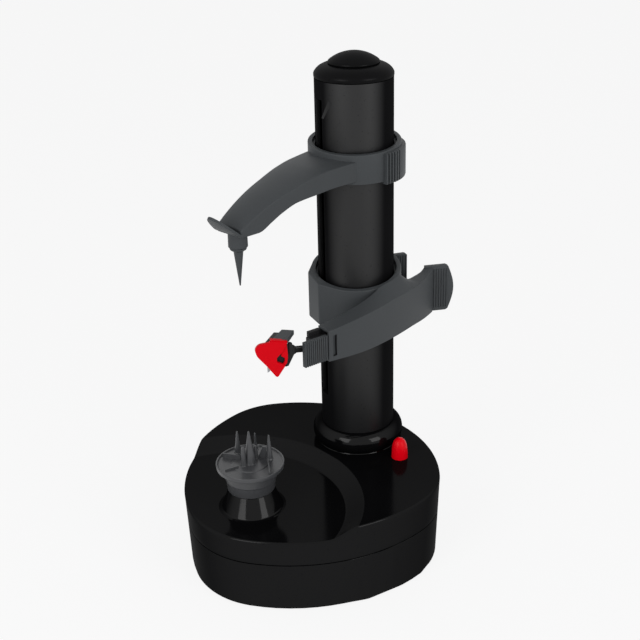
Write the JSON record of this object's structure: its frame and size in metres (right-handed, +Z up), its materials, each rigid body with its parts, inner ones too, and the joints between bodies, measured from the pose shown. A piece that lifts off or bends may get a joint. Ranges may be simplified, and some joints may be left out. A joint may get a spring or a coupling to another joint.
{
  "type": "electric potato peeler",
  "caption": "Countertop electric peeler: driven food holder on an egg-shaped base, slotted column with lead screw, sprung peeling arm and upper spike arm",
  "frame": {"origin": "On the table, midway between the two ends of the base outline and on its line of symmetry", "axes": "+Z is up along the column, +X runs from the food holder to the column, -Y is the side of the peeling arm"},
  "size_m": [0.177, 0.1544, 0.2918],
  "materials": {
    "black_shell": "polished",
    "grey_moulding": "fine texture",
    "red_moulding": "smooth",
    "steel": "brushed",
    "brass_part": "turned",
    "white_gear": "moulded",
    "chassis_plastic": "moulded",
    "black_rubber": "matt",
    "board": "lacquered",
    "cell_wrap": "printed film",
    "black_fitting": "moulded",
    "motor_can": "zinc plated"
  },
  "bodies": {
    "housing": {"base_lower": "black_shell", "base_upper": "black_shell", "cell_1": "cell_wrap", "cell_2": "cell_wrap", "cell_3": "cell_wrap", "cell_4": "cell_wrap", "contact_front": "steel", "contact_back": "steel", "chassis": "chassis_plastic", "motor": "motor_can", "cluster_pin": "steel", "idler_pin": "steel", "holder_bush": "brass_part", "screw_bush_low": "brass_part", "screw_bush_high": "brass_part", "column": "black_shell", "column_cap": "black_shell", "cap_plug": "black_shell", "button_spring": "steel", "power_switch": "black_fitting", "circuit_board": "board", "power_inlet": "black_fitting", "foot_1": "black_rubber", "foot_2": "black_rubber", "foot_3": "black_rubber", "foot_4": "black_rubber", "case_screw_1": "steel", "case_screw_2": "steel", "case_screw_3": "steel", "case_screw_4": "steel"},
    "holder": {"food_holder": "grey_moulding", "holder_spindle": "steel", "holder_gear": "white_gear"},
    "cluster": {"cluster_gear": "white_gear"},
    "idler": {"idler_gear": "white_gear"},
    "rotor": {"motor_shaft": "steel", "pinion": "brass_part"},
    "screw": {"lead_screw": "steel", "screw_gear": "white_gear"},
    "carriage": {"carriage": "grey_moulding", "nut_spring": "steel", "hinge_pin": "steel", "hinge_spring": "steel"},
    "nut": {"half_nut": "brass_part"},
    "arm": {"peeling_arm": "grey_moulding"},
    "cartridge": {"cartridge": "grey_moulding", "blade_shaft": "steel"},
    "head": {"yoke": "grey_moulding", "blade": "steel", "blade_guard": "red_moulding"},
    "top_arm": {"top_arm": "grey_moulding", "friction_pad": "black_rubber"},
    "spike": {"top_spike": "grey_moulding", "spike_clip": "steel"},
    "button": {"power_button": "red_moulding"},
    "door": {"battery_door": "black_shell"}
  },
  "joints": [
    {"name": "holder_spin", "type": "hinge", "parent": "housing", "child": "holder", "pos_m": [-0.04333, 0, 0.05], "axis": [0, 0, 1], "continuous": true},
    {"name": "cluster_spin", "type": "hinge", "parent": "housing", "child": "cluster", "pos_m": [-0.00833, 0, 0.04], "axis": [0, 0, 1], "continuous": true},
    {"name": "rotor_spin", "type": "hinge", "parent": "housing", "child": "rotor", "pos_m": [-0.00833, -0.024, 0.038], "axis": [0, 0, 1], "continuous": true},
    {"name": "idler_spin", "type": "hinge", "parent": "housing", "child": "idler", "pos_m": [0.01266, -0.00659, 0.042], "axis": [0, 0, 1], "continuous": true},
    {"name": "screw_spin", "type": "hinge", "parent": "housing", "child": "screw", "pos_m": [0.04907, 0, 0.05], "axis": [0, 0, 1], "continuous": true},
    {"name": "carriage_slide", "type": "slide", "parent": "housing", "child": "carriage", "axis": [0, 0, 1], "range_m": [-0.042, 0.048]},
    {"name": "nut_slide", "type": "slide", "parent": "carriage", "child": "nut", "axis": [-0.9205, 0.3907, 0], "range_m": [0, 0.0016]},
    {"name": "arm_swing", "type": "hinge", "parent": "carriage", "child": "arm", "pos_m": [0.061, -0.0265, 0.145], "axis": [0, 0, 1], "range_deg": [0, 16], "stiffness_Nm_per_rad": 0.3, "springref_deg": -17.19},
    {"name": "cartridge_pull", "type": "slide", "parent": "arm", "child": "cartridge", "axis": [-0.9843, 0.1765, 0], "range_m": [0, 0.016]},
    {"name": "head_swivel", "type": "hinge", "parent": "cartridge", "child": "head", "pos_m": [-0.0371, -0.01929, 0.147], "axis": [-0.9843, 0.1765, 0], "range_deg": [-25, 25]},
    {"name": "top_arm_slide", "type": "slide", "parent": "housing", "child": "top_arm", "axis": [0, 0, 1], "range_m": [-0.048, 0.025]},
    {"name": "spike_spin", "type": "hinge", "parent": "top_arm", "child": "spike", "pos_m": [-0.04333, 0, 0.2], "axis": [0, 0, 1], "continuous": true},
    {"name": "button_press", "type": "slide", "parent": "housing", "child": "button", "axis": [0, 0, -1], "range_m": [0, 0.002], "stiffness_N_per_m": 300, "springref_m": -0.001},
    {"name": "door_slide", "type": "slide", "parent": "housing", "child": "door", "axis": [0, 1, 0], "range_m": [0, 0.005]}
  ],
  "couplings": [
    {"joint": "cluster_spin", "follows": "holder_spin", "ratio": -4},
    {"joint": "rotor_spin", "follows": "holder_spin", "ratio": 12},
    {"joint": "idler_spin", "follows": "holder_spin", "ratio": 1.8667},
    {"joint": "screw_spin", "follows": "holder_spin", "ratio": -1.2727},
    {"joint": "nut_slide", "follows": "arm_swing", "m_per_rad": 0.0057}
  ]
}
